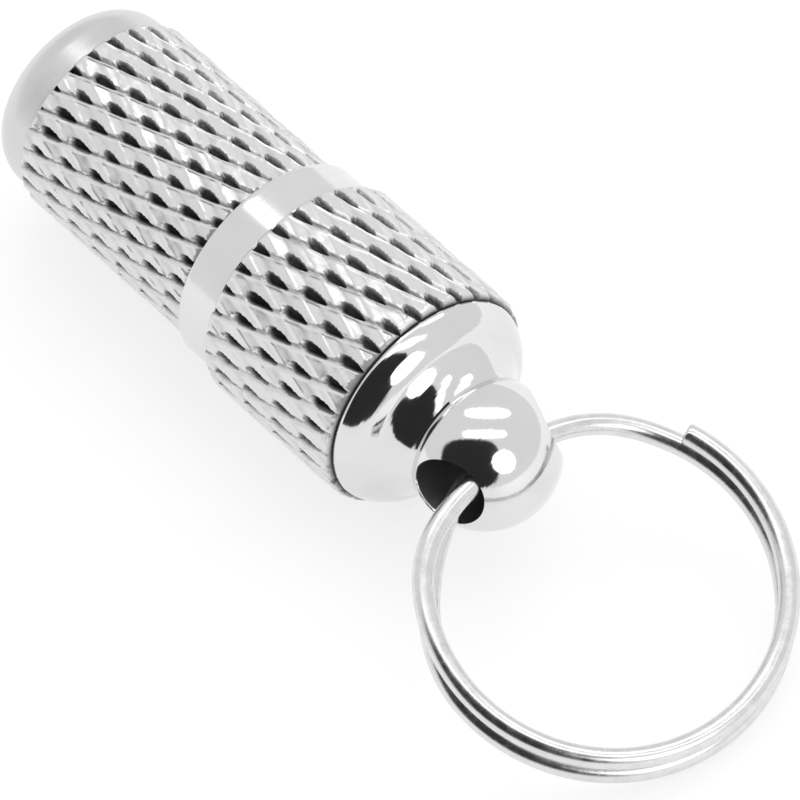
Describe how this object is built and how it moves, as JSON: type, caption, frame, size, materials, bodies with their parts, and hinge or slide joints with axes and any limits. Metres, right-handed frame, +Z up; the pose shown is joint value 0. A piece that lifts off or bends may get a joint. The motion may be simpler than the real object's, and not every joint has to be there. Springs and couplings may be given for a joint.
{
  "type": "message capsule",
  "caption": "Small knurled metal capsule for a rolled paper slip: a screw-on tube, a cap with a round drilled eyelet, and a split ring.",
  "frame": {"origin": "on the surface the capsule lies on, under the middle of its overall length", "axes": "+X along the capsule from its closed end to its eyelet, +Z up, so the capsule lies on its side and the ring droops to the surface"},
  "size_m": [0.0402, 0.0154, 0.01],
  "materials": {
    "knurled_metal": "bright plated, knurled",
    "polished_metal": "mirror polished",
    "ring_steel": "drawn wire, bright",
    "seal_rubber": "matt",
    "paper": "plain uncoated paper"
  },
  "bodies": {
    "cap": {"cap_sleeve": "knurled_metal", "eyelet_stud": "polished_metal"},
    "seal": {"o_ring": "seal_rubber"},
    "tube": {"tube": "knurled_metal"},
    "slip": {"paper_slip": "paper"},
    "ring": {"split_ring": "ring_steel"}
  },
  "joints": [
    {"name": "tube_travel", "type": "slide", "parent": "cap", "child": "seal", "axis": [-1, 0, 0], "range_m": [0, 0.00525]},
    {"name": "tube_turn", "type": "hinge", "parent": "seal", "child": "tube", "pos_m": [0, 0, 0.005], "axis": [-1, 0, 0], "range_deg": [0, 2520]},
    {"name": "slip_slide", "type": "slide", "parent": "tube", "child": "slip", "axis": [1, 0, 0], "range_m": [0, 0.0022]},
    {"name": "ring_swing", "type": "hinge", "parent": "cap", "child": "ring", "pos_m": [0.00621, 0.00002, 0.0055], "axis": [0, -0.999, 0.0436], "range_deg": [-110, 145]}
  ],
  "couplings": [
    {"joint": "tube_turn", "follows": "tube_travel", "rad_per_m": 8377.6}
  ]
}
